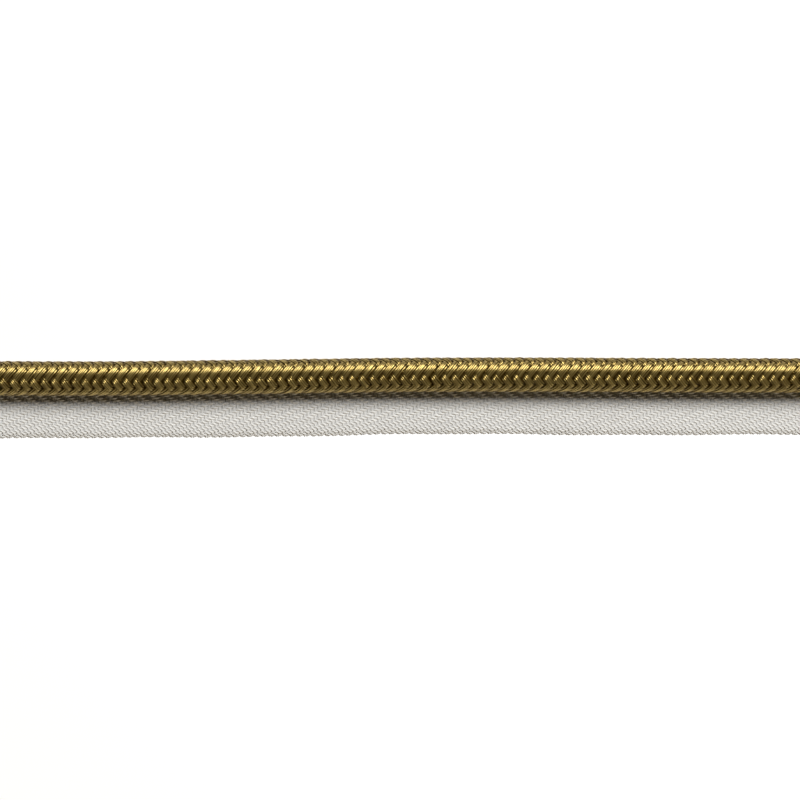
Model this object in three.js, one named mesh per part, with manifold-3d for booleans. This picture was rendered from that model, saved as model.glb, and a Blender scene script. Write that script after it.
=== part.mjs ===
// A cut length of silk lip cord: a round braided cord sewn along the edge of a narrow
// herringbone tape. Millimetres, +X along the trimming, +Y from the lip to the cord, +Z up.
// The tape lies flat at z = 0, and the cord sits on its upper edge.

import * as THREE from 'three';
import { mergeVertices } from 'three/addons/utils/BufferGeometryUtils.js';
import Module from 'manifold-3d';

const wasm = await Module();
wasm.setup();

// Driving dimensions
const LENGTH = 150;
const CORD_DIAMETER = 6;
const BRAID_PITCH = 1.78;        // along the cord, from one float to the next
const BRAID_COLUMNS = 8;         // of floats round the cord, leaning one way and the other by turns
const BRAID_RELIEF = 0.34;       // a float's crown above the groove beside it
const BRAID_DIVE = 0.19;         // below the crowns, where a float goes under the next column
const BRAID_START = 7;           // degrees from straight up towards the lip, to a column's border
const TAPE_THICKNESS = 1;
const LIP_REACH = 10.2;          // from the cord's axis to the tape's outer selvedge
const TAPE_UNDER_CORD = 0.7;     // how far the tape runs past the cord's axis
const SEAM_GAP = 0.3;            // between the tape and the cord sewn on it
const SELVEDGE_WAVER = 0.14;     // how far the outer selvedge strays from its line

// The two slow waves by which it strays: their share of the waver, length along the tape and
// phase at the middle
const SELVEDGE_WAVES = [
  { share: 0.6, length: 57, phase: 0.8 },
  { share: 0.4, length: 21, phase: 2.1 },
];

// How the trimming bows sideways as it lies
const BOW = [
  { x: -75, y: -0.64 },
  { x: -50, y: -0.66 },
  { x: -25, y: -0.37 },
  { x: 0, y: -0.05 },
  { x: 25, y: 0 },
  { x: 50, y: -0.1 },
  { x: 75, y: -0.14 },
];

// Steps of the mesh
const COLUMN_STEPS = 3;          // faces across one column of floats
const TAPE_STEP = 3;             // along the tape
const WELD = 1e-4;               // points nearer than this are one

// Worked out from the sizes above
const CORD_RADIUS = CORD_DIAMETER / 2;
const RING_STEP = BRAID_PITCH / 2;
const AROUND = COLUMN_STEPS * BRAID_COLUMNS;
const LOWEST_BOW = Math.min(...BOW.map((station) => station.y));
const AXIS_Y = (LIP_REACH + SELVEDGE_WAVER - LOWEST_BOW - CORD_RADIUS) / 2;
const AXIS_Z = TAPE_THICKNESS + SEAM_GAP + CORD_RADIUS;

const silk = new THREE.MeshStandardMaterial({ color: 0x9c8345, roughness: 0.45, metalness: 0 });
const cotton = new THREE.MeshStandardMaterial({ color: 0xcdc8c2, roughness: 0.9, metalness: 0 });

const bowCurve = new THREE.CatmullRomCurve3(
  BOW.map((station) => new THREE.Vector3(station.x, station.y, 0)),
  false,
  'catmullrom',
);

// The y of the cord's axis at x
function axisY(x) {
  const along = THREE.MathUtils.clamp(x / LENGTH + 0.5, 0, 1);
  return AXIS_Y + bowCurve.getPoint(along).y;
}

// The y of the outer selvedge at x
function selvedgeY(x) {
  let waver = 0;
  for (const wave of SELVEDGE_WAVES) {
    waver += wave.share * Math.sin((2 * Math.PI * x) / wave.length + wave.phase);
  }
  return axisY(x) - LIP_REACH + SELVEDGE_WAVER * waver;
}

// A closed geometry as a solid that can be cut
function solidOf(geometry) {
  const bare = geometry.clone();
  bare.deleteAttribute('normal');
  bare.deleteAttribute('uv');
  const welded = mergeVertices(bare, WELD);
  return new wasm.Manifold(new wasm.Mesh({
    numProp: 3,
    vertProperties: new Float32Array(welded.attributes.position.array),
    triVerts: new Uint32Array(welded.index.array),
  }));
}

function geometryOf(solid) {
  const mesh = solid.getMesh();
  const geometry = new THREE.BufferGeometry();
  geometry.setAttribute('position', new THREE.BufferAttribute(mesh.vertProperties, 3));
  geometry.setIndex(new THREE.BufferAttribute(mesh.triVerts, 1));
  geometry.computeVertexNormals();
  return geometry;
}

// One point of the braid's surface. A ring follows one float across its column and leans back
// across the next, and rings are crown and groove by turns, so each float dives between two
// floats of the next column.
function braidPoint(ring, step, firstX) {
  const column = Math.floor(step / COLUMN_STEPS);
  const across = (step % COLUMN_STEPS) / COLUMN_STEPS;
  const lean = column % 2 === 0 ? across - 0.5 : 0.5 - across;
  const x = firstX + ring * RING_STEP + lean * BRAID_PITCH;

  const swell = Math.sin(Math.PI * across);
  const crownDepth = BRAID_DIVE * (1 - swell);
  const grooveDepth = BRAID_DIVE + (BRAID_RELIEF - BRAID_DIVE) * swell;
  const isCrown = (ring + column) % 2 === 0;
  const radius = CORD_RADIUS - (isCrown ? crownDepth : grooveDepth);

  const angle = THREE.MathUtils.degToRad(BRAID_START) + (step / AROUND) * 2 * Math.PI;
  const y = axisY(x) - radius * Math.sin(angle);
  const z = AXIS_Z + radius * Math.cos(angle);
  return [x, y, z];
}

// The braided cord, made a little too long and cut square at both ends
function braidedCord() {
  const rings = 2 * Math.ceil((LENGTH / 2 + 2 * BRAID_PITCH) / RING_STEP) + 1;
  const firstX = (-(rings - 1) / 2) * RING_STEP;
  const points = [];
  const faces = [];
  for (let ring = 0; ring < rings; ring += 1) {
    for (let step = 0; step < AROUND; step += 1) {
      points.push(...braidPoint(ring, step, firstX));
    }
  }
  for (let ring = 0; ring < rings - 1; ring += 1) {
    for (let step = 0; step < AROUND; step += 1) {
      const a = ring * AROUND + step;
      const b = ring * AROUND + ((step + 1) % AROUND);
      faces.push(a, b, a + AROUND);
      faces.push(b, b + AROUND, a + AROUND);
    }
  }

  const startCentre = rings * AROUND;
  const endCentre = startCentre + 1;
  const lastRing = (rings - 1) * AROUND;
  points.push(firstX, axisY(firstX), AXIS_Z);
  points.push(-firstX, axisY(-firstX), AXIS_Z);
  for (let step = 0; step < AROUND; step += 1) {
    const next = (step + 1) % AROUND;
    faces.push(startCentre, next, step);
    faces.push(endCentre, lastRing + step, lastRing + next);
  }

  const braid = new THREE.BufferGeometry();
  braid.setAttribute('position', new THREE.Float32BufferAttribute(points, 3));
  braid.setIndex(faces);
  const span = 4 * CORD_DIAMETER;
  const cut = new THREE.BoxGeometry(LENGTH, span, span).translate(0, AXIS_Y, AXIS_Z);
  return geometryOf(solidOf(braid).intersect(solidOf(cut)));
}

// The tape, a flat strip between its hidden selvedge and its outer one
function lipTape() {
  const steps = Math.round(LENGTH / TAPE_STEP);
  const outline = new THREE.Shape();
  outline.moveTo(-LENGTH / 2, selvedgeY(-LENGTH / 2));
  for (let step = 1; step <= steps; step += 1) {
    const x = -LENGTH / 2 + step * TAPE_STEP;
    outline.lineTo(x, selvedgeY(x));
  }
  for (let step = steps; step >= 0; step -= 1) {
    const x = -LENGTH / 2 + step * TAPE_STEP;
    outline.lineTo(x, axisY(x) + TAPE_UNDER_CORD);
  }
  outline.closePath();
  return new THREE.ExtrudeGeometry(outline, { depth: TAPE_THICKNESS, bevelEnabled: false });
}

const trimming = new THREE.Group();

const cord = new THREE.Mesh(braidedCord(), silk);
cord.name = 'braided_cord';
trimming.add(cord);

const tape = new THREE.Mesh(lipTape(), cotton);
tape.name = 'lip_tape';
trimming.add(tape);

export default trimming;
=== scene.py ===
"""A cut length of silk lip cord: a round braided cord sewn along a herringbone tape.

Laid out as a Blender add-on and run as a script. All lengths are in metres, +X runs along the
trimming, +Y from the tape's lip to the cord and +Z up. Seen from above, the cord and the tape lie
where the frame's solids braided_cord and lip_tape are. The tape is thinner than its solid and the
cord lies close on it, so the cord lies a little lower than its solid.
"""

import math
from typing import NamedTuple

import bpy
from bpy.props import FloatProperty, FloatVectorProperty, IntProperty, PointerProperty
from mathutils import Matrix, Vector


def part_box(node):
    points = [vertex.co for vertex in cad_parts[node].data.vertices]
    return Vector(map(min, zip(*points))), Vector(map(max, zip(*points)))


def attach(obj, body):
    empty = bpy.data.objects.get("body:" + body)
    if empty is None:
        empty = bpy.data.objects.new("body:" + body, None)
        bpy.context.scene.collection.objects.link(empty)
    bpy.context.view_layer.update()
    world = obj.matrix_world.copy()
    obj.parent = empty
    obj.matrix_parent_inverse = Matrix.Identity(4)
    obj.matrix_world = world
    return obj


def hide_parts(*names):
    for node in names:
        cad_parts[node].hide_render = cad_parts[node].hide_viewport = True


bl_info = {
    "name": "Silk Lip Cord",
    "version": (1, 0, 0),
    "blender": (4, 5, 0),
    "location": "3D View > Sidebar > Trimming",
    "description": "Makes a braided silk cord on its woven lip tape, yarn by yarn",
    "category": "Add Mesh",
}

MM = 0.001
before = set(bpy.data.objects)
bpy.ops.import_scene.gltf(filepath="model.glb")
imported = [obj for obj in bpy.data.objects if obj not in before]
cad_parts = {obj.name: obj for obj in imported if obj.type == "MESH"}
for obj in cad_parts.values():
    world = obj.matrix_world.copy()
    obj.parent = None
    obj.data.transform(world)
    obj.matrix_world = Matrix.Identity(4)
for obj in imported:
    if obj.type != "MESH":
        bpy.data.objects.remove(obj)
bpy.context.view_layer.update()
BODY = "root"

# How the trimming bows sideways as it lies: x and y of its stations, the route of the cord
BOW = (
    (-75, -0.64),
    (-50, -0.66),
    (-25, -0.37),
    (0, -0.05),
    (25, 0.0),
    (50, -0.10),
    (75, -0.14),
)
TAPE_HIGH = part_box("lip_tape")[1]
HALF_LENGTH = TAPE_HIGH.x
TAPE_PAST_AXIS = 0.7 * MM
LIP_REACH = 10.2 * MM
AXIS_Y = TAPE_HIGH.y - TAPE_PAST_AXIS
GUIDE_STEP = 1.0 * MM

# The selvedge strays from its line in two slow waves: share, length and phase of each
SELVEDGE_WAVER = 0.14 * MM
SELVEDGE_WAVES = ((0.6, 57 * MM, 0.8), (0.4, 21 * MM, 2.1))


def bow_at(x):
    """How far the trimming lies from its straight line at x, a smooth curve through the stations."""
    gap = (BOW[1][0] - BOW[0][0]) * MM
    along = min(max((x - BOW[0][0] * MM) / gap, 0), len(BOW) - 1)
    first = min(int(along), len(BOW) - 2)
    t = along - first
    start, end = BOW[first][1], BOW[first + 1][1]
    before = BOW[first - 1][1] if first > 0 else 2 * start - end
    after = BOW[first + 2][1] if first + 2 < len(BOW) else 2 * end - start
    square = 2 * before - 5 * start + 4 * end - after
    cube = 3 * start - before - 3 * end + after
    bend = square * t**2 + cube * t**3
    return 0.5 * (2 * start + (end - before) * t + bend) * MM


def axis_points(z, step=GUIDE_STEP):
    """Points along the trimming's line at the height z, over the cord's axis."""
    count = round(2 * HALF_LENGTH / step)
    places = (-HALF_LENGTH + 2 * HALF_LENGTH * i / count for i in range(count + 1))
    return [Vector((x, AXIS_Y + bow_at(x), z)) for x in places]


class BraidSettings(bpy.types.PropertyGroup):
    """The braided cord"""

    diameter: FloatProperty(
        name="Diameter", description="The cord over its floats", default=6.26 * MM, subtype="DISTANCE"
    )
    pitch: FloatProperty(
        name="Pitch", description="Along the cord from one bundle to the next", default=1.78 * MM,
        subtype="DISTANCE",
    )
    bundles: IntProperty(
        name="Bundles", description="Bundles of yarn that lean each way", default=8, min=2
    )
    yarns: IntProperty(name="Yarns", description="Yarns in a bundle", default=4, min=1)
    yarn_thickness: FloatProperty(
        name="Yarn", description="Thickness of one yarn", default=0.39 * MM, subtype="DISTANCE"
    )
    rise: FloatProperty(
        name="Rise", description="How far a bundle rises and dives from its mean layer",
        default=0.2 * MM, subtype="DISTANCE",
    )
    snap: FloatProperty(
        name="Snap", description="How abruptly a bundle goes from over to under", default=6.5, min=0.1
    )
    favour: FloatProperty(
        name="Favour", description="How much longer the bundles that lean in float than the others",
        default=0.25, min=0.0, max=0.9,
    )
    skew: FloatProperty(
        name="Skew", description="How much a float climbs towards the end where it dives",
        default=0.3, min=0.0,
    )
    turn: FloatProperty(
        name="Turn", description="From straight up towards the lip, to a border of the columns",
        default=math.radians(2.5), subtype="ANGLE",
    )
    light_gold: FloatVectorProperty(
        name="Light Gold", description="The palest yarns", default=(0.51, 0.378, 0.125), size=3,
        subtype="COLOR", min=0, max=1,
    )
    dark_gold: FloatVectorProperty(
        name="Dark Gold", description="The deepest yarns", default=(0.085, 0.045, 0.0005), size=3,
        subtype="COLOR", min=0, max=1,
    )


class TapeSettings(bpy.types.PropertyGroup):
    """The herringbone lip tape"""

    yarn_thickness: FloatProperty(
        name="Yarn", description="Thickness of a lengthwise yarn", default=0.33 * MM,
        subtype="DISTANCE",
    )
    thickness: FloatProperty(
        name="Thickness", description="Of the woven tape", default=0.54 * MM, subtype="DISTANCE"
    )
    crimp: FloatProperty(
        name="Crimp", description="How far a yarn rises and falls from the tape's middle",
        default=0.095 * MM, subtype="DISTANCE",
    )
    ends: IntProperty(
        name="Ends", description="Lengthwise yarns each side of the middle line", default=18, min=4
    )
    end_pitch: FloatProperty(
        name="End Pitch", description="Between lengthwise yarns near the middle", default=0.38 * MM,
        subtype="DISTANCE",
    )
    edge_pitch: FloatProperty(
        name="Edge Pitch", description="Between lengthwise yarns near the selvedges",
        default=0.22 * MM, subtype="DISTANCE",
    )
    dense_from: FloatProperty(
        name="Dense From", description="Ends from the middle to where they crowd", default=9.3
    )
    pick_pitch: FloatProperty(
        name="Pick Pitch", description="Between crosswise yarns", default=0.618 * MM,
        subtype="DISTANCE",
    )
    stitch: FloatProperty(
        name="Stitch", description="From one stitch to the next", default=3.0 * MM,
        subtype="DISTANCE",
    )
    thread_thickness: FloatProperty(
        name="Thread", description="Thickness of the sewing thread", default=0.22 * MM,
        subtype="DISTANCE",
    )
    light_cotton: FloatVectorProperty(
        name="Light Cotton", description="The palest yarns", default=(0.79, 0.782, 0.755), size=3,
        subtype="COLOR", min=0, max=1,
    )
    dark_cotton: FloatVectorProperty(
        name="Dark Cotton", description="The deepest yarns", default=(0.49, 0.478, 0.452), size=3,
        subtype="COLOR", min=0, max=1,
    )


class StageSettings(bpy.types.PropertyGroup):
    """The surface, the lights and the camera"""

    picture_width: FloatProperty(
        name="Picture Width", description="How much of the trimming the picture spans",
        default=139.1 * MM, subtype="DISTANCE",
    )
    cord_above_middle: FloatProperty(
        name="Cord above Middle", description="The cord's axis above the picture's middle",
        default=4.42 * MM, subtype="DISTANCE",
    )
    lens: FloatProperty(name="Lens", description="Focal length in mm", default=200.0)
    surface: FloatVectorProperty(
        name="Surface", description="The pale table top", default=(0.94, 0.94, 0.94), size=3,
        subtype="COLOR", min=0, max=1,
    )


class Term:
    """A number in a node tree, on which ordinary arithmetic makes Math nodes."""

    def __init__(self, tree, socket):
        self.tree = tree
        self.socket = socket

    def maths(self, operation, *others):
        """The result of a Math node on this number and the others."""
        node = self.tree.nodes.new("ShaderNodeMath")
        node.operation = operation
        for socket, value in zip(node.inputs, (self, *others)):
            put(self.tree, value, socket)
        return Term(self.tree, node.outputs[0])

    def __add__(self, other):
        return self.maths("ADD", other)

    def __sub__(self, other):
        return self.maths("SUBTRACT", other)

    def __mul__(self, other):
        return self.maths("MULTIPLY", other)

    def __truediv__(self, other):
        return self.maths("DIVIDE", other)

    def __neg__(self):
        return self.maths("MULTIPLY", -1.0)

    __radd__ = __add__
    __rmul__ = __mul__

    def __rsub__(self, other):
        return (-self) + other


def put(tree, value, socket):
    """Links a term or a socket to a node's input, or writes a plain value on it."""
    if isinstance(value, Term):
        tree.links.new(value.socket, socket)
    elif isinstance(value, bpy.types.NodeSocket):
        tree.links.new(value, socket)
    else:
        socket.default_value = value


class Nodes:
    """A node tree, with short ways to add nodes to it."""

    def __init__(self, tree):
        self.tree = tree

    def term(self, socket):
        return Term(self.tree, socket)

    def node(self, kind, values=None, **settings):
        """A new node, with its settings and with values or links on its named inputs."""
        made = self.tree.nodes.new(kind)
        for name, value in settings.items():
            setattr(made, name, value)
        for name, value in (values or {}).items():
            put(self.tree, value, made.inputs[name])
        return made


class Change(NamedTuple):
    """A random change along each yarn, read from smooth noise.

    The noise goes through so many places a metre. Lane is the step in it from one yarn to the
    next, and layer keeps one kind of change apart from another.
    """

    per_metre: float
    lane: float
    layer: float
    size: float


# The noise lies about 0.5, and mostly between 0.25 and 0.75
NOISE_MIDDLE = 0.5
NOISE_SPREAD = 4.0


class Recipe(Nodes):
    """A Geometry Nodes tree that makes one piece from the line that it follows."""

    def __init__(self, name, sizes, counts):
        super().__init__(bpy.data.node_groups.new(name, "GeometryNodeTree"))
        sockets = self.tree.interface
        sockets.new_socket("Line", in_out="INPUT", socket_type="NodeSocketGeometry")
        for size in sizes:
            sockets.new_socket(size, in_out="INPUT", socket_type="NodeSocketFloat")
        for count in counts:
            sockets.new_socket(count, in_out="INPUT", socket_type="NodeSocketInt")
        sockets.new_socket("Finish", in_out="INPUT", socket_type="NodeSocketMaterial")
        sockets.new_socket("Piece", in_out="OUTPUT", socket_type="NodeSocketGeometry")
        self.start = self.tree.nodes.new("NodeGroupInput")
        self.end = self.tree.nodes.new("NodeGroupOutput")

    def number(self, name):
        """One of the tree's own inputs."""
        return self.term(self.start.outputs[name])

    def vector(self, x, y, z):
        return self.node("ShaderNodeCombineXYZ", {"X": x, "Y": y, "Z": z}).outputs[0]

    def split(self, vector):
        parts = self.node("ShaderNodeSeparateXYZ", {"Vector": vector}).outputs
        return tuple(self.term(part) for part in parts)

    def noise(self, x, y, z):
        """A smooth random number, mostly from -1 to 1, for a place in the noise."""
        place = self.vector(x, y, z)
        made = self.node("ShaderNodeTexNoise", {"Vector": place, "Scale": 1.0, "Detail": 1.0})
        return (self.term(made.outputs[0]) - NOISE_MIDDLE) * NOISE_SPREAD

    def change(self, kind, run, index, side=1.0):
        """A random change at the place run along the yarn of that number."""
        lane = index * kind.lane
        return self.noise(run * kind.per_metre, lane, side * kind.layer) * kind.size

    def tone(self, x, y, z):
        """A smooth random number, mostly from 0 to 1, for how light a yarn is."""
        return self.noise(x, y, z) * 0.5 + 0.5

    def copies(self, steps, amount):
        """Straight lines of so many points each, with each line's number and each point's share."""
        line = self.node("GeometryNodeCurvePrimitiveLine")
        dotted = self.node("GeometryNodeResampleCurve", {"Curve": line.outputs[0], "Count": steps})
        doubled = self.node(
            "GeometryNodeDuplicateElements",
            {"Geometry": dotted.outputs[0], "Amount": amount},
            domain="SPLINE",
        )
        place = self.node("GeometryNodeSplineParameter").outputs["Index"]
        share = self.term(place) / (steps - 1)
        index = self.term(doubled.outputs["Duplicate Index"])
        return doubled.outputs["Geometry"], index, share

    def on_line(self, share):
        """The place on the followed line at a share of its length."""
        line = self.node("GeometryNodeMeshToCurve", {"Mesh": self.start.outputs["Line"]})
        sample = self.node(
            "GeometryNodeSampleCurve", {"Curves": line.outputs[0], "Factor": share}, mode="FACTOR"
        )
        return self.split(sample.outputs["Position"])

    def moved(self, curves, place):
        """The curves with each point put at its place."""
        setter = self.node("GeometryNodeSetPosition", {"Geometry": curves, "Position": place})
        return setter.outputs[0]

    def keep(self, geometry, name, value, data_type="FLOAT"):
        """Stores a value on the geometry's points for its finish to read."""
        kept = self.node(
            "GeometryNodeStoreNamedAttribute",
            {"Geometry": geometry, "Name": name},
            data_type=data_type,
            domain="POINT",
        )
        put(self.tree, value, kept.inputs["Value"])
        return kept.outputs[0]

    def tubes(self, curves, outward, radius, sides, flatness):
        """Closed tubes round the curves, with each point's place round its yarn kept on it.

        Its x is 1 on the yarn's crest, which faces outward, and -1 at its back. Flatness is a
        yarn's thickness over its width.
        """
        turned = self.node(
            "GeometryNodeSetCurveNormal", {"Curve": curves, "Normal": outward}, mode="FREE"
        )
        ring = self.node("GeometryNodeCurvePrimitiveCircle", {"Resolution": sides, "Radius": 1.0})
        spot = self.node("GeometryNodeInputPosition").outputs[0]
        ring_kept = self.keep(ring.outputs[0], "yarn_side", spot, "FLOAT_VECTOR")
        pressed = self.node(
            "GeometryNodeTransform", {"Geometry": ring_kept, "Scale": (flatness, 1.0, 1.0)}
        )
        tube = self.node(
            "GeometryNodeCurveToMesh",
            {
                "Curve": turned.outputs[0],
                "Profile Curve": pressed.outputs[0],
                "Scale": radius,
                "Fill Caps": True,
            },
        )
        return tube.outputs[0]

    def finish(self, mesh):
        """Ends the tree with the mesh, smooth and in its material."""
        smooth = self.node("GeometryNodeSetShadeSmooth", {"Geometry": mesh})
        real = self.node("GeometryNodeRealizeInstances", {"Geometry": smooth.outputs[0]})
        dressed = self.node(
            "GeometryNodeSetMaterial",
            {"Geometry": real.outputs[0], "Material": self.start.outputs["Finish"]},
        )
        self.tree.links.new(dressed.outputs[0], self.end.inputs[0])

    def make(self, name, line, values, finish):
        """Runs the tree on a line of points and returns the plain mesh piece."""
        guide = bpy.data.meshes.new(name + "_line")
        guide.from_pydata(line, [(i, i + 1) for i in range(len(line) - 1)], [])
        maker = bpy.data.objects.new(name + "_maker", guide)
        bpy.context.scene.collection.objects.link(maker)
        modifier = maker.modifiers.new("Weave", "NODES")
        modifier.node_group = self.tree
        inputs = {**values, "Finish": finish}
        for item in self.tree.interface.items_tree:
            if item.in_out == "INPUT" and item.name in inputs:
                modifier[item.identifier] = inputs[item.name]
        ready = maker.evaluated_get(bpy.context.evaluated_depsgraph_get())
        mesh = bpy.data.meshes.new_from_object(ready)
        bpy.data.objects.remove(maker)
        mesh.name = name
        return add_piece(name, mesh)


def add_piece(name, mesh):
    """Puts a mesh in the scene as a piece that goes with the trimming's one body."""
    piece = bpy.data.objects.new(name, mesh)
    bpy.context.scene.collection.objects.link(piece)
    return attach(piece, BODY)


# Finishes

# The Mix node has sockets for every kind of value: these are the numbers of those for colours
MIX_SHARE, MIX_FIRST, MIX_SECOND = 0, 6, 7
MIX_RESULT = 2

# How far the filaments of the lightest yarn are shifted along it from the darkest one's
FILAMENT_SHIFT = 40.0

# What each thing adds to the silk's share of light gold, and what is taken off it. The crest share is
# a painted highlight on each yarn's crest, and the height share is painted shade, darker where a yarn
# dives or lies low.
SILK_YARN_SHARE = 0.5
SILK_FILAMENT_SHARE = 0.3
SILK_CREST_PAINTED_HIGHLIGHT = 1.2
SILK_HEIGHT_PAINTED_SHADE = 0.7
SILK_DARKENING = 1.16

# The same for the cotton's share of light cotton
COTTON_YARN_SHARE = 0.35
COTTON_FIBRE_SHARE = 0.4
COTTON_LEAST_SHARE = 0.1

# Painted shade in the depth: colours of the braid's ground and the tape's inside, as shares of the
# dark gold and the dark cotton
UNDER_SHADE = 0.35
GROUND_SHADE = 0.6


class Finish(Nodes):
    """A material and the arithmetic of its nodes."""

    def __init__(self, name, **sockets):
        self.material = bpy.data.materials.new(name)
        self.material.use_nodes = True
        super().__init__(self.material.node_tree)
        self.shader = self.tree.nodes["Principled BSDF"]
        for socket, value in sockets.items():
            self.shader.inputs[socket.replace("_", " ")].default_value = value

    def attribute(self, name, output="Fac"):
        """A value that the piece's recipe kept on it."""
        return self.node("ShaderNodeAttribute", attribute_name=name).outputs[output]

    def side_of_yarn(self):
        """The place round the yarn, its x and its y."""
        kept = self.attribute("yarn_side", "Vector")
        parts = self.node("ShaderNodeSeparateXYZ", {"Vector": kept}).outputs
        return self.term(parts[0]), self.term(parts[1])

    def place_in_object(self):
        return self.node("ShaderNodeTexCoord").outputs["Object"]

    def noise(self, place, scale):
        """A smooth random number, about 0.5."""
        made = self.node("ShaderNodeTexNoise", {"Vector": place, "Scale": scale, "Detail": 2.0})
        return self.term(made.outputs[0])

    def paint(self, share, first, second):
        """Colours the material, with the first colour where share is 0 and the second at 1."""
        made = self.node("ShaderNodeMix", data_type="RGBA")
        put(self.tree, share, made.inputs[MIX_SHARE])
        put(self.tree, (*first, 1.0), made.inputs[MIX_FIRST])
        put(self.tree, (*second, 1.0), made.inputs[MIX_SECOND])
        self.tree.links.new(made.outputs[MIX_RESULT], self.shader.inputs["Base Color"])

    def crest(self):
        """1 on a yarn's crest, falling to 0 at the next corner round it and staying 0 beyond."""
        outward = self.side_of_yarn()[0]
        low = math.cos(2 * math.pi / YARN_SIDES)
        share = (outward - low) / (1 - low)
        return share.maths("MAXIMUM", 0.0)

    def filament_place(self, stretch, crowd):
        """A place on the yarn, stretched along it so that noise there runs in filaments."""
        outward, beside = self.side_of_yarn()
        x = outward * crowd
        y = beside * crowd
        run = self.term(self.attribute("yarn_run")) * stretch
        shifted = run + self.term(self.attribute("yarn_tone")) * FILAMENT_SHIFT
        return self.node("ShaderNodeCombineXYZ", {"X": x, "Y": y, "Z": shifted}).outputs[0]

    def bump(self, height, strength, distance):
        """Raises the surface by the height, as a bump."""
        made = self.node(
            "ShaderNodeBump", {"Height": height, "Strength": strength, "Distance": distance}
        )
        self.tree.links.new(made.outputs[0], self.shader.inputs["Normal"])


def silk_finish(settings):
    """Old gold silk: a sheen across fine filaments, painted paler on the crests and where a yarn lies
    high, as painted highlight and painted shade.
    """
    finish = Finish(
        "silk_braid", Metallic=0.76, Roughness=0.35, Specular_IOR_Level=0.4, Anisotropic=0.9,
        Anisotropic_Rotation=0.25,
    )
    finish.tree.links.new(finish.attribute("yarn_lie", "Vector"), finish.shader.inputs["Tangent"])
    place = finish.filament_place(stretch=1 / (1.6 * MM), crowd=1.8)
    filaments = finish.noise(place, scale=1.0)
    height = finish.term(finish.attribute("painted_shade_height"))
    yarn = finish.term(finish.attribute("yarn_tone"))
    tone = yarn * SILK_YARN_SHARE + filaments * SILK_FILAMENT_SHARE
    # Painted highlight on the crests and painted shade where a yarn lies deep
    tone = tone + finish.crest() * SILK_CREST_PAINTED_HIGHLIGHT + height * SILK_HEIGHT_PAINTED_SHADE - SILK_DARKENING
    finish.paint(tone, settings.dark_gold, settings.light_gold)
    finish.bump(filaments, strength=0.15, distance=0.015 * MM)
    return finish.material


def shaded_silk_finish(settings):
    """The silk that lies deep under the floats, painted darker than the yarns as painted shade, since
    little light comes there.
    """
    finish = Finish("silk_under", Metallic=0.2, Roughness=0.6)
    specks = finish.noise(finish.place_in_object(), scale=2600.0)
    painted_shade_colour = [part * UNDER_SHADE for part in settings.dark_gold]
    finish.paint(specks, painted_shade_colour, settings.dark_gold)
    finish.bump(specks, strength=0.4, distance=0.04 * MM)
    return finish.material


def cotton_finish(settings, name="lip_tape", shade=1.0):
    """Natural grey-white cotton, matt, with the yarn's own unevenness."""
    finish = Finish(name, Roughness=0.85, Sheen_Weight=0.15, Sheen_Roughness=0.5)
    place = finish.filament_place(stretch=1 / (0.8 * MM), crowd=1.6)
    fibres = finish.noise(place, scale=1.0)
    yarn = finish.term(finish.attribute("yarn_tone"))
    tone = yarn * COTTON_YARN_SHARE + fibres * COTTON_FIBRE_SHARE + COTTON_LEAST_SHARE
    light = [part * shade for part in settings.light_cotton]
    dark = [part * shade for part in settings.dark_cotton]
    finish.paint(tone, dark, light)
    finish.bump(fibres, strength=0.3, distance=0.02 * MM)
    return finish.material


def ground_finish(settings):
    """The tape's inside between its yarns, painted darker in specks as painted shade."""
    finish = Finish("tape_ground", Roughness=0.9)
    specks = finish.noise(finish.place_in_object(), scale=2200.0)
    painted_shade_colour = [part * GROUND_SHADE for part in settings.dark_cotton]
    finish.paint(specks, painted_shade_colour, settings.light_cotton)
    return finish.material


# The braided cord

YARN_SIDES = 5
YARN_FLATNESS = 0.65
STEPS_A_COLUMN = 7

# How much closer than the mean a yarn's points lie where it dives
GATHERING = 0.5

# The share of its pitch that a bundle's yarns take up
BUNDLE_FILL = 0.91

# How a float ends: at 0 along the border of its column, at 2 straight across the cord
FLOAT_SLANT = 1.3

# A bundle is crowned: a yarn lies lower by this times the square of its place across the bundle, in
# pitches. For its painted shade, lying lower by the second depth counts as much as a full dive.
BUNDLE_CROWN = 1.3 * MM
CROWN_SHADE_DEPTH = 0.4 * MM

# How much of the skew is in a float's highest point
SKEW_AT_TOP = 0.8

# How deep the ground lies under the floats, in rises, and how many sides it has
GROUND_DEPTH = 2.6
GROUND_SIDES = 24

# How much lower the cord lies than the full thicknesses of cord and tape would have it, which
# brings its floats down on the tape's upper yarns
BEDDING = 0.12 * MM

# Yarns and bundles stray sideways, counted in pitches, and yarns also lie uneven and swell
STRAND_DRIFT = Change(per_metre=260.0, lane=3.7, layer=0.5, size=0.045)
BUNDLE_DRIFT = Change(per_metre=150.0, lane=4.1, layer=9.5, size=0.05)
BRAID_UNEVENNESS = Change(per_metre=420.0, lane=5.3, layer=7.5, size=0.04 * MM)
BRAID_SWELLING = Change(per_metre=500.0, lane=2.9, layer=1.5, size=0.08)


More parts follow.
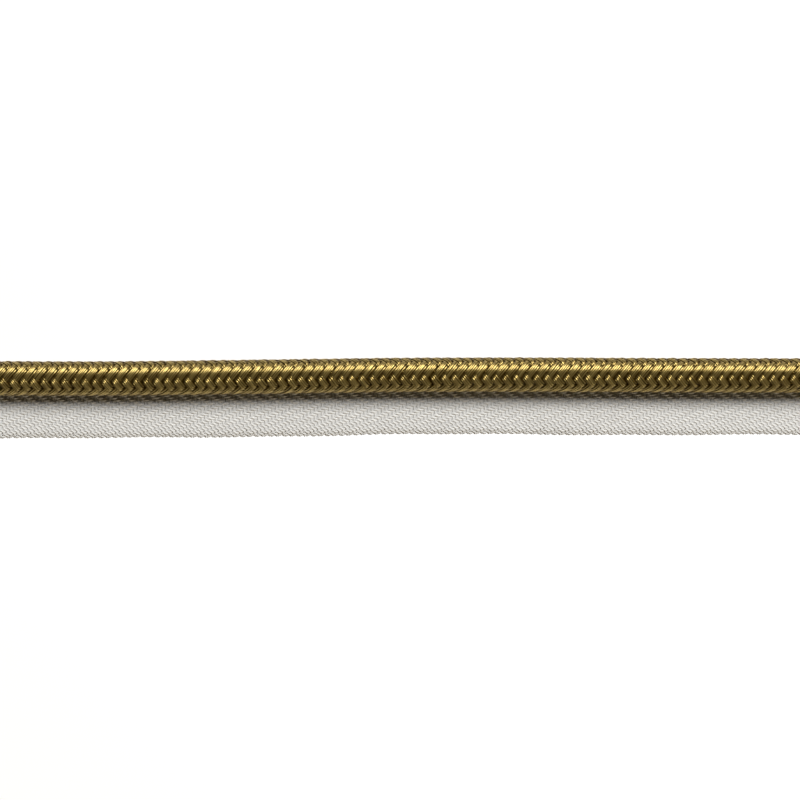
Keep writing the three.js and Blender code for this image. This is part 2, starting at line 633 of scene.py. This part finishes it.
def braid_recipe(lean):
    """The yarns that lean one way: lean is 1 where they turn to the lip on top as x grows."""
    recipe = Recipe(
        "Braid Yarns",
        ("Half Length", "Mean Radius", "Pitch", "Rise", "Snap", "Favour", "Skew", "Turn",
         "Yarn Radius", "Start"),
        ("Steps", "Bundles", "Yarns"),
    )
    number = recipe.number
    pitch, bundles, yarns = number("Pitch"), number("Bundles"), number("Yarns")
    curves, index, share = recipe.copies(number("Steps"), bundles * yarns)
    bundle = (index / yarns).maths("FLOOR")
    yarn = index - bundle * yarns
    across = (yarn - (yarns - 1) * 0.5) / yarns * BUNDLE_FILL

    even = (share - 0.5) * number("Half Length") * 2.0
    gather = (even / pitch - number("Start") - across * 0.5) * (2 * math.pi)
    run = even - gather.maths("SINE") * pitch * (GATHERING / (2 * math.pi))
    drift = recipe.change(STRAND_DRIFT, run, index) + recipe.change(BUNDLE_DRIFT, run, bundle)
    spot = run / pitch - across - drift - number("Start")
    angle = (spot + bundle) / bundles * (lean * 2 * math.pi) + number("Turn")

    cut = (across * FLOAT_SLANT + drift) * (lean * math.pi / 2)
    phase = (angle - number("Turn")) * bundles * 0.5 + cut
    top = (phase.maths("SINE") - number("Favour")) * lean
    snap = number("Snap")
    over = (top * snap).maths("TANH") / snap.maths("TANH") - phase.maths("COSINE") * number("Skew")
    crown = across * across * -BUNDLE_CROWN
    unevenness = recipe.change(BRAID_UNEVENNESS, run, index)
    radius = number("Mean Radius") + over * number("Rise") + crown + unevenness

    x, y, z = recipe.on_line(run / (number("Half Length") * 2.0) + 0.5)
    sideways, upward = -angle.maths("SINE"), angle.maths("COSINE")
    place = recipe.vector(x, y + radius * sideways, z + radius * upward)
    tone = recipe.tone(index * 9.1, run * 60.0, 3.5)
    toned = recipe.keep(recipe.moved(curves, place), "yarn_tone", tone)
    # How high a yarn lies, kept for the silk's painted shade: dives and a bundle's low outer yarns are
    # painted darker
    height = (over + 1.0) * 0.5 + crown / CROWN_SHADE_DEPTH
    raised = recipe.keep(toned, "painted_shade_height", height)
    lie = recipe.node("GeometryNodeInputTangent").outputs[0]
    lying = recipe.keep(raised, "yarn_lie", lie, "FLOAT_VECTOR")
    run_kept = recipe.keep(lying, "yarn_run", run)
    thickness = number("Yarn Radius") * (1.0 + recipe.change(BRAID_SWELLING, run, index))
    outward = recipe.vector(0.0, sideways, upward)
    recipe.finish(recipe.tubes(run_kept, outward, thickness, YARN_SIDES, YARN_FLATNESS))
    return recipe


def cord_axis_z(scene):
    """The height of the cord's axis, with the cord bedded on the tape."""
    return scene.lip_tape.thickness + scene.lip_braid.diameter / 2 - BEDDING


def make_braid(scene):
    """The yarns of the cord, one piece for those that lean each way."""
    settings = scene.lip_braid
    silk = silk_finish(settings)
    line = axis_points(cord_axis_z(scene))
    yarn_radius = settings.yarn_thickness / 2
    highest = settings.rise * (1 + SKEW_AT_TOP * settings.skew)
    mean_radius = settings.diameter / 2 - yarn_radius * YARN_FLATNESS - highest
    columns = 2 * HALF_LENGTH / settings.pitch
    values = {
        "Half Length": HALF_LENGTH,
        "Mean Radius": mean_radius,
        "Pitch": settings.pitch,
        "Rise": settings.rise,
        "Snap": settings.snap,
        "Favour": settings.favour,
        "Skew": settings.skew,
        "Turn": settings.turn,
        "Yarn Radius": yarn_radius,
        "Steps": round(columns * STEPS_A_COLUMN),
        "Bundles": settings.bundles,
        "Yarns": settings.yarns,
    }
    made = []
    for name, lean, start in (("yarns_leaning_out", 1, 0.0), ("yarns_leaning_in", -1, 0.5)):
        values["Start"] = start
        made.append(braid_recipe(lean).make(name, line, values, silk))
    return made


def closed_mesh(name, rings, material):
    """A closed mesh through rings of as many points each, with a flat face at each end."""
    around = len(rings[0])
    points = [point for ring in rings for point in ring]
    faces = []
    for ring in range(len(rings) - 1):
        for side in range(around):
            a = ring * around + side
            b = ring * around + (side + 1) % around
            faces.append((a, b, b + around, a + around))
    last = (len(rings) - 1) * around
    faces.append(list(reversed(range(around))))
    faces.append(list(range(last, last + around)))
    mesh = bpy.data.meshes.new(name)
    mesh.from_pydata(points, [], faces)
    mesh.materials.append(material)
    return mesh


def make_braid_ground(scene):
    """The deepest layer, which closes the braid between its yarns and at its cut ends."""
    settings = scene.lip_braid
    yarn_radius = settings.yarn_thickness / 2
    radius = settings.diameter / 2 - GROUND_DEPTH * settings.rise - yarn_radius
    turns = [2 * math.pi * side / GROUND_SIDES for side in range(GROUND_SIDES)]
    ring = [radius * Vector((0, -math.sin(turn), math.cos(turn))) for turn in turns]
    line = axis_points(cord_axis_z(scene), 2 * GUIDE_STEP)
    rings = [[centre + spot for spot in ring] for centre in line]
    # Its silk is painted darker than the yarns, as painted shade
    mesh = closed_mesh("braid_ground", rings, shaded_silk_finish(settings))
    mesh.polygons.foreach_set("use_smooth", [len(p.vertices) == 4 for p in mesh.polygons])
    return add_piece("braid_ground", mesh)


class LIPCORD_OT_braid(bpy.types.Operator):
    """Make the braided cord"""

    bl_idname = "lipcord.braid"
    bl_label = "Braided Cord"

    def execute(self, context):
        scene = context.scene
        ground = make_braid_ground(scene)
        yarns = make_braid(scene)
        for piece in (ground, *yarns):
            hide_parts("braided_cord")
        path = axis_points(cord_axis_z(scene))
        return {"FINISHED"}


# The lip tape

# Over how many ends the wide pitch goes over to the narrow one
CROWDING_OVER = 8.0

# The share of its thickness that the tape loses at a selvedge, and how much of that in each end
THINNING = 0.45
THINNING_AN_END = 0.4

# An end that is wide for its pitch lies aside by turns: its width over its pitch from which it
# does so, the most above that which counts, and how far it goes for it, in pitches
ASIDE_FROM = 0.8
ASIDE_LIMIT = 0.5
ASIDE = 1.3

# An end's thickness at its mean height and how it grows on top, and what it gains for each bit
# that its neighbours lie wider apart than at the selvedges
END_THICKNESS = 0.9
END_SWELL = 0.14
END_WIDENING = 0.3
END_FLATNESS = 0.7
STEPS_A_PICK = 3

# How far a pick goes past the last end, and how far before its end it starts to lean towards the
# neighbour that it meets there, both counted in ends. Its lean and its strays are in pick pitches,
# and its crimp is a share of that of the ends.
PICK_PAST_END = 0.35
PICK_LEANS_BEFORE = 0.9
PICK_LEAN = 0.42
PICK_STRAY = 0.06
PICK_CRIMP = 0.6
PICK_FLATNESS = 0.5
PICK_RADIUS = 0.29 * MM
PICK_STEPS = 72
# The picks are painted a little darker than the ends, as painted shade, since they lie lower
PICK_PAINTED_SHADE = 0.92

# Ends stray sideways, counted in pitches, and also up and down, and they swell
END_WANDER = Change(per_metre=300.0, lane=3.3, layer=7.0, size=0.1)
END_LIFT = Change(per_metre=350.0, lane=4.1, layer=9.0, size=0.02 * MM)
END_SWELLING = Change(per_metre=450.0, lane=2.3, layer=5.0, size=0.06)


def side_place(recipe, count):
    """How far from the middle line the yarn of that number lies: they crowd near the selvedges."""
    number = recipe.number
    edge = number("Edge Pitch")
    near = count.maths("SMOOTH_MIN", number("Dense From"), CROWDING_OVER)
    return count * edge + near * (number("End Pitch") - edge)


def waver(recipe, run, side, count):
    """How far the outer selvedge strays from its line, which fades towards the middle line."""
    total = 0.0
    for share, length, phase in SELVEDGE_WAVES:
        total = (run * (2 * math.pi / length) + phase).maths("SINE") * share + total
    out = count / recipe.number("Ends") * (0.5 - side * 0.5)
    return total * out * out * SELVEDGE_WAVER


def thinning(recipe, count):
    """The tape's thickness as a share of its full one: it thins at the selvedges."""
    last = (count - recipe.number("Ends")) * THINNING_AN_END + 1.0
    return 1.0 - last.maths("MAXIMUM", 0.0).maths("MINIMUM", 1.0) * THINNING


def warp_recipe():
    """The tape's ends, its lengthwise yarns, on one side of the middle line."""
    recipe = Recipe(
        "Tape Ends",
        ("Half Length", "End Pitch", "Edge Pitch", "Dense From", "Pick Pitch", "Crimp", "Middle Y",
         "Radius", "Half Thickness", "Side"),
        ("Steps", "Ends"),
    )
    number = recipe.number
    ends, side = number("Ends"), number("Side")
    curves, index, share = recipe.copies(number("Steps"), ends)
    count = index + 0.5
    run = (share - 0.5) * number("Half Length") * 2.0
    x, y, z = recipe.on_line(share)

    gap = side_place(recipe, count + 0.5) - side_place(recipe, count - 0.5)
    picks_on = run / number("Pick Pitch") + index + side + 1.0
    top = ((picks_on - 0.5) * (math.pi / 2)).maths("COSINE")
    crowding = (number("Radius") * 2.0 / gap - ASIDE_FROM).maths("MINIMUM", ASIDE_LIMIT)
    aside = (picks_on * math.pi).maths("COSINE") * crowding * -ASIDE
    wander = recipe.change(END_WANDER, run, index, side)
    lift = recipe.change(END_LIFT, run, index, side)
    swelling = recipe.change(END_SWELLING, run, index, side)
    swell = END_THICKNESS + top * END_SWELL + swelling
    radius = (number("Radius") + (gap - number("Edge Pitch")) * END_WIDENING) * swell
    thin = thinning(recipe, count)
    beside = side_place(recipe, count) + (aside + wander) * gap
    place = recipe.vector(
        x,
        y + number("Middle Y") + side * beside + waver(recipe, run, side, count),
        z + (number("Half Thickness") + top * number("Crimp")) * thin + lift,
    )
    tone = recipe.tone(index * 9.1, run * 90.0, side * 3.0)
    toned = recipe.keep(recipe.moved(curves, place), "yarn_tone", tone)
    run_kept = recipe.keep(toned, "yarn_run", run)
    upward = recipe.vector(0.0, 0.0, 1.0)
    recipe.finish(recipe.tubes(run_kept, upward, radius * thin, YARN_SIDES, END_FLATNESS))
    return recipe


def weft_recipe():
    """The tape's picks, its crosswise yarns, each turned at both ends to meet its neighbour."""
    recipe = Recipe(
        "Tape Picks",
        ("Half Length", "End Pitch", "Edge Pitch", "Dense From", "Pick Pitch", "Crimp", "Middle Y",
         "Radius", "Half Thickness"),
        ("Steps", "Ends", "Picks"),
    )
    number = recipe.number
    ends, picks = number("Ends"), number("Picks")
    curves, index, share = recipe.copies(number("Steps"), picks)
    across = (share - 0.5) * (ends + PICK_PAST_END) * 2.0
    side = across.maths("SIGN")
    count = across.maths("ABSOLUTE")

    pick = index - ((picks - 1) * 0.5).maths("FLOOR")
    turn_share = (count - (ends - PICK_LEANS_BEFORE)).maths("MAXIMUM", 0.0)
    is_odd = pick.maths("FLOORED_MODULO", 2.0)
    towards = (1.0 - is_odd * 2.0) * side
    bend = (turn_share * turn_share).maths("MINIMUM", 1.0) * PICK_LEAN
    stray = recipe.noise(index * 5.7, count * 0.15, 5.5) * PICK_STRAY
    run = (pick + towards * bend + stray) * number("Pick Pitch")
    x, y, z = recipe.on_line(run / (number("Half Length") * 2.0) + 0.5)

    shift = count - 0.5 + (side + 1.0)
    phase = (pick + shift - 0.5) * (math.pi / 2)
    height = phase.maths("COSINE") * -1.0
    thin = thinning(recipe, count)
    beside = side * side_place(recipe, count) + waver(recipe, run, side, count)
    place = recipe.vector(
        x,
        y + number("Middle Y") + beside,
        z + (number("Half Thickness") + height * number("Crimp") * PICK_CRIMP) * thin,
    )
    tone = recipe.tone(index * 7.1, count * 0.2, 3.5)
    toned = recipe.keep(recipe.moved(curves, place), "yarn_tone", tone)
    run_kept = recipe.keep(toned, "yarn_run", across * number("End Pitch"))
    upward = recipe.vector(0.0, 0.0, 1.0)
    radius = number("Radius") * thin
    recipe.finish(recipe.tubes(run_kept, upward, radius, YARN_SIDES - 1, PICK_FLATNESS))
    return recipe


def make_tape(scene):
    """The tape's yarns: the ends each side of the middle line, and the picks."""
    settings = scene.lip_tape
    middle_y = (TAPE_PAST_AXIS - LIP_REACH) / 2
    picks = round(2 * HALF_LENGTH / settings.pick_pitch)
    shared = {
        "Half Length": HALF_LENGTH,
        "End Pitch": settings.end_pitch,
        "Edge Pitch": settings.edge_pitch,
        "Dense From": settings.dense_from,
        "Pick Pitch": settings.pick_pitch,
        "Middle Y": middle_y,
        "Crimp": settings.crimp,
        "Half Thickness": settings.thickness / 2,
        "Ends": settings.ends,
    }
    line = axis_points(0.0)
    warp_values = {**shared, "Radius": settings.yarn_thickness / 2}
    warp_values["Steps"] = STEPS_A_PICK * picks
    warps = warp_recipe()
    cotton = cotton_finish(settings)
    lip_half = warps.make("tape_ends_lip", line, {**warp_values, "Side": -1.0}, cotton)
    cord_half = warps.make("tape_ends_cord", line, {**warp_values, "Side": 1.0}, cotton)
    weft_values = {**shared, "Radius": PICK_RADIUS, "Steps": PICK_STEPS, "Picks": picks}
    wefts = weft_recipe().make(
        "tape_picks", line, weft_values, cotton_finish(settings, "tape_picks", PICK_PAINTED_SHADE)
    )
    return [lip_half, cord_half, wefts]


def make_tape_ground(scene):
    """The tape's inside, a thin layer between its yarns that closes the weave."""
    settings = scene.lip_tape
    low, edge, high = 0.14 * MM, 0.20 * MM, 0.36 * MM
    inset, slope = 0.3 * MM, 0.8 * MM
    rings = []
    for centre in axis_points(0.0, 2 * GUIDE_STEP):
        near = centre.y - LIP_REACH + inset
        far = centre.y + TAPE_PAST_AXIS - inset
        bottom = [(near, low), (far, low)]
        top = [(far, edge), (far - slope, high), (near + slope, high), (near, edge)]
        rings.append([(centre.x, y, z) for y, z in bottom + top])
    # The ground shows in the gaps between yarns, painted darker as painted shade
    mesh = closed_mesh("tape_ground", rings, ground_finish(settings))
    return add_piece("tape_ground", mesh)


# The sewing thread

STITCH_SNAP = 3.0
STITCH_SWAY = 0.06 * MM
STITCH_BESIDE_AXIS = -0.3 * MM
STEPS_A_STITCH = 16
THREAD_FLATNESS = 0.9
THREAD_SHADE = 0.8


def stitch_recipe():
    """The thread that sews the cord down, by turns under the tape and through the cord's yarns."""
    recipe = Recipe(
        "Stitches", ("Half Length", "Stitch", "Beside", "Lowest", "Highest", "Radius"), ("Steps",)
    )
    number = recipe.number
    curves, _, share = recipe.copies(number("Steps"), 1)
    run = (share - 0.5) * number("Half Length") * 2.0
    x, y, z = recipe.on_line(share)
    wave = (run / number("Stitch") * (2 * math.pi)).maths("SINE")
    height = (wave * STITCH_SNAP).maths("TANH") * 0.5 + 0.5
    sway = recipe.noise(run * 180.0, 2.5, 6.5) * STITCH_SWAY
    place = recipe.vector(
        x,
        y + number("Beside") + sway,
        z + number("Lowest") + height * (number("Highest") - number("Lowest")),
    )
    tone = recipe.tone(run * 90.0, 1.5, 3.5)
    toned = recipe.keep(recipe.moved(curves, place), "yarn_tone", tone)
    run_kept = recipe.keep(toned, "yarn_run", run)
    upward = recipe.vector(0.0, 0.0, 1.0)
    thread = recipe.tubes(run_kept, upward, number("Radius"), YARN_SIDES + 1, THREAD_FLATNESS)
    recipe.finish(thread)
    return recipe


def make_stitches(scene):
    """The sewing thread, a little beside the cord's axis."""
    settings = scene.lip_tape
    radius = settings.thread_thickness / 2
    stitches = round(2 * HALF_LENGTH / settings.stitch)
    values = {
        "Half Length": HALF_LENGTH,
        "Stitch": settings.stitch,
        "Beside": STITCH_BESIDE_AXIS,
        "Lowest": radius,
        "Highest": settings.thickness + 2 * radius,
        "Radius": radius,
        "Steps": STEPS_A_STITCH * stitches,
    }
    cotton = cotton_finish(settings, "sewing_thread", THREAD_SHADE)
    return stitch_recipe().make("stitches", axis_points(0.0), values, cotton)


class LIPCORD_OT_tape(bpy.types.Operator):
    """Weave the lip tape"""

    bl_idname = "lipcord.tape"
    bl_label = "Lip Tape"

    def execute(self, context):
        scene = context.scene
        ground = make_tape_ground(scene)
        yarns = [*make_tape(scene), make_stitches(scene)]
        for piece in (ground, *yarns):
            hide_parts("lip_tape")
        return {"FINISHED"}


# The stage

TABLE_HALF_SIZE = 4.0
SENSOR_WIDTH = 36.0
WHITE_LIGHT = (1.0, 1.0, 1.0)
WARM_LIGHT = (1.0, 0.85, 0.62)
ROOM_LIGHT = (1.0, 0.84, 0.62, 1.0)
ROOM_STRENGTH = 0.04


def add_lamp(name, right, up, distance, diameter, power, colour, lights_sheen=True):
    """A round soft box aimed at the trimming.

    Right and up are the degrees by which it leans from straight above, towards the picture's
    right side and its top side.
    """
    lamp = bpy.data.lights.new(name, "AREA")
    lamp.shape = "DISK"
    lamp.size = diameter
    lamp.energy = power
    lamp.color = colour
    towards = Vector((math.tan(math.radians(right)), math.tan(math.radians(up)), 1.0)).normalized()
    holder = bpy.data.objects.new(name, lamp)
    holder.location = towards * distance
    holder.rotation_euler = towards.to_track_quat("Z", "Y").to_euler()
    holder.visible_glossy = lights_sheen
    bpy.context.scene.collection.objects.link(holder)


def set_surface(scene):
    """The white surface that the trimming lies on."""
    size = TABLE_HALF_SIZE
    mesh = bpy.data.meshes.new("table_top")
    corners = [(-size, -size, 0), (size, -size, 0), (size, size, 0), (-size, size, 0)]
    mesh.from_pydata(corners, [], [(0, 1, 2, 3)])
    surface = Finish("table_top", Roughness=0.9)
    surface.shader.inputs["Base Color"].default_value = (*scene.lip_stage.surface, 1.0)
    mesh.materials.append(surface.material)
    table = bpy.data.objects.new("table_top", mesh)
    scene.collection.objects.link(table)


def set_lights(scene):
    """A large soft lamp, a weak warm one low on the lip's side, and a little light all round."""
    add_lamp(
        "soft_box", right=25, up=28.5, distance=2.0, diameter=0.93, power=54.5, colour=WHITE_LIGHT
    )
    add_lamp(
        "fill_box", right=0, up=-80, distance=0.9, diameter=0.16, power=2.6, colour=WARM_LIGHT,
        lights_sheen=False,
    )
    world = bpy.data.worlds.new("studio")
    world.use_nodes = True
    room = world.node_tree.nodes["Background"].inputs
    room["Color"].default_value = ROOM_LIGHT
    room["Strength"].default_value = ROOM_STRENGTH
    scene.world = world
    scene.view_settings.view_transform = "Standard"


def set_camera(scene):
    """The camera looks straight down, from where the picture spans the width that it should."""
    settings = scene.lip_stage
    lens = bpy.data.cameras.new("camera")
    lens.lens = settings.lens
    lens.sensor_width = SENSOR_WIDTH
    lens.clip_start = 0.01
    holder = bpy.data.objects.new("camera", lens)
    distance = settings.picture_width * lens.lens / lens.sensor_width
    height = cord_axis_z(scene) + distance
    holder.location = (0, AXIS_Y - settings.cord_above_middle, height)
    scene.collection.objects.link(holder)
    scene.camera = holder


class LIPCORD_OT_stage(bpy.types.Operator):
    """Set the surface, the lights and the camera"""

    bl_idname = "lipcord.stage"
    bl_label = "Stage"

    def execute(self, context):
        scene = context.scene
        set_surface(scene)
        set_lights(scene)
        set_camera(scene)
        return {"FINISHED"}


class LIPCORD_PT_trimming(bpy.types.Panel):
    """The trimming's pieces and their sizes"""

    bl_label = "Silk Lip Cord"
    bl_idname = "LIPCORD_PT_trimming"
    bl_space_type = "VIEW_3D"
    bl_region_type = "UI"
    bl_category = "Trimming"

    def draw(self, context):
        layout = self.layout
        for settings in (context.scene.lip_braid, context.scene.lip_tape, context.scene.lip_stage):
            box = layout.box()
            for name in type(settings).__annotations__:
                box.prop(settings, name)
        for operator in STEPS:
            layout.operator(operator.bl_idname)


STEPS = (LIPCORD_OT_braid, LIPCORD_OT_tape, LIPCORD_OT_stage)
CLASSES = (BraidSettings, TapeSettings, StageSettings, *STEPS, LIPCORD_PT_trimming)


def register():
    for cls in CLASSES:
        bpy.utils.register_class(cls)
    bpy.types.Scene.lip_braid = PointerProperty(type=BraidSettings)
    bpy.types.Scene.lip_tape = PointerProperty(type=TapeSettings)
    bpy.types.Scene.lip_stage = PointerProperty(type=StageSettings)


def unregister():
    del bpy.types.Scene.lip_stage
    del bpy.types.Scene.lip_tape
    del bpy.types.Scene.lip_braid
    for cls in reversed(CLASSES):
        bpy.utils.unregister_class(cls)


def main():
    register()
    bpy.ops.lipcord.braid()
    bpy.ops.lipcord.tape()
    bpy.ops.lipcord.stage()


if __name__ == "__main__":
    main()
